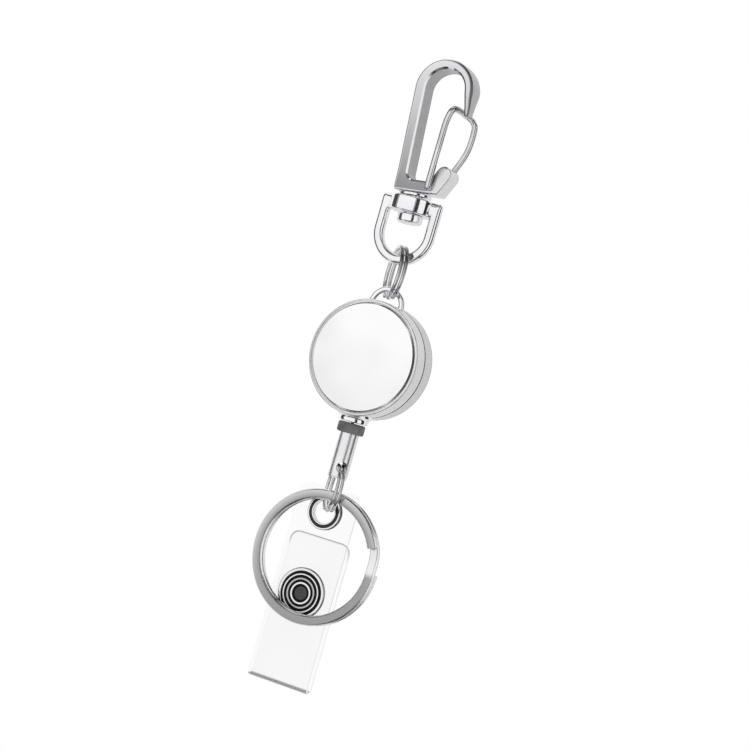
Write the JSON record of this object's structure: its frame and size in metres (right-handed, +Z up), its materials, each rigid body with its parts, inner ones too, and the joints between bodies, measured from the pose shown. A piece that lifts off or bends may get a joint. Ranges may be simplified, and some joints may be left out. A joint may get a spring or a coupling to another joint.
{
  "type": "retractable badge reel",
  "caption": "Bright metal retractable badge reel: snap hook on a swivel eye, round spring reel, pull cord with stopper, split key ring and clear snap strap",
  "frame": {"origin": "the inside of the hook's crook, where it bears on what it hangs from", "axes": "+Z up along the hanging chain, -Y towards the case's polished face, +X to the gate's side of the hook"},
  "size_m": [0.0335, 0.0118, 0.1595],
  "materials": {
    "satin_nickel": "satin nickel plate",
    "bright_chrome": "bright chrome plate",
    "mirror_face": "polished disc",
    "black_rubber": "matt moulded",
    "clear_vinyl": "clear soft vinyl",
    "white_moulding": "moulded",
    "spring_steel": "rolled",
    "black_cord": "braided"
  },
  "bodies": {
    "hook": {"hook_body": "satin_nickel", "swivel_rivet": "bright_chrome", "swivel_washer": "spring_steel"},
    "gate": {"gate_wire": "bright_chrome"},
    "yoke": {"swivel_yoke": "bright_chrome"},
    "upper_link": {"upper_split_ring": "bright_chrome"},
    "reel": {"lug_loop": "bright_chrome", "front_cover": "bright_chrome", "face_plate": "mirror_face", "back_cover": "bright_chrome", "nozzle": "bright_chrome", "centre_post": "spring_steel", "spiral_spring": "spring_steel"},
    "spool": {"spool": "white_moulding", "spring_cover": "spring_steel", "cord_inner_layers": "black_cord", "cord_outer_layer": "black_cord"},
    "cord_end": {"cord_run": "black_cord", "stopper": "black_rubber", "ferrule": "bright_chrome", "cord_crimp": "spring_steel"},
    "lower_link": {"lower_split_ring": "bright_chrome"},
    "key_ring": {"key_ring": "satin_nickel"},
    "strap": {"strap_leaf": "clear_vinyl", "eyelet": "bright_chrome", "eyelet_washer": "bright_chrome", "snap_cap": "bright_chrome", "snap_socket": "bright_chrome"},
    "strap_flap": {"strap_flap": "clear_vinyl", "snap_stud": "bright_chrome", "snap_post": "bright_chrome"}
  },
  "joints": [
    {"name": "gate_hinge", "type": "hinge", "parent": "hook", "child": "gate", "pos_m": [0.0035, 0, -0.02962], "axis": [0, -1, 0], "range_deg": [0, 21], "stiffness_Nm_per_rad": 0.01, "springref_deg": -22.92},
    {"name": "hook_swivel", "type": "hinge", "parent": "hook", "child": "yoke", "pos_m": [-0.00067, 0, -0.03275], "axis": [-0.0773, 0, 0.997], "continuous": true},
    {"name": "upper_ring_swing", "type": "hinge", "parent": "yoke", "child": "upper_link", "pos_m": [0, 0, -0.04817], "axis": [1, 0, 0], "range_deg": [-55, 55]},
    {"name": "reel_swing", "type": "hinge", "parent": "upper_link", "child": "reel", "pos_m": [0, 0, -0.06001], "axis": [0, 1, 0], "range_deg": [-36, 36]},
    {"name": "cord_pull", "type": "slide", "parent": "reel", "child": "cord_end", "axis": [0, 0, -1], "range_m": [0, 0.6], "stiffness_N_per_m": 2, "springref_m": -0.35, "deforming": ["cord_run"]},
    {"name": "spool_spin", "type": "hinge", "parent": "reel", "child": "spool", "pos_m": [0, 0, -0.07391], "axis": [0, 1, 0], "range_deg": [0, 3410], "deforming": ["spiral_spring"]},
    {"name": "lower_ring_swing", "type": "hinge", "parent": "cord_end", "child": "lower_link", "pos_m": [0, 0, -0.10131], "axis": [0.6018, -0.7986, 0], "range_deg": [-60, 60]},
    {"name": "key_ring_swing", "type": "hinge", "parent": "lower_link", "child": "key_ring", "pos_m": [0, 0, -0.10665], "axis": [0.7986, 0.6018, 0], "range_deg": [-60, 0]},
    {"name": "strap_swing", "type": "hinge", "parent": "lower_link", "child": "strap", "pos_m": [0, 0, -0.10665], "axis": [0.7986, 0.6018, 0], "range_deg": [0, 45]},
    {"name": "strap_flap_open", "type": "hinge", "parent": "strap", "child": "strap_flap", "pos_m": [-0.00134, 0.00428, -0.1548], "axis": [-1, 0, 0], "range_deg": [0, 130]}
  ],
  "couplings": [
    {"joint": "spool_spin", "follows": "cord_pull", "rad_per_m": 99.01}
  ]
}
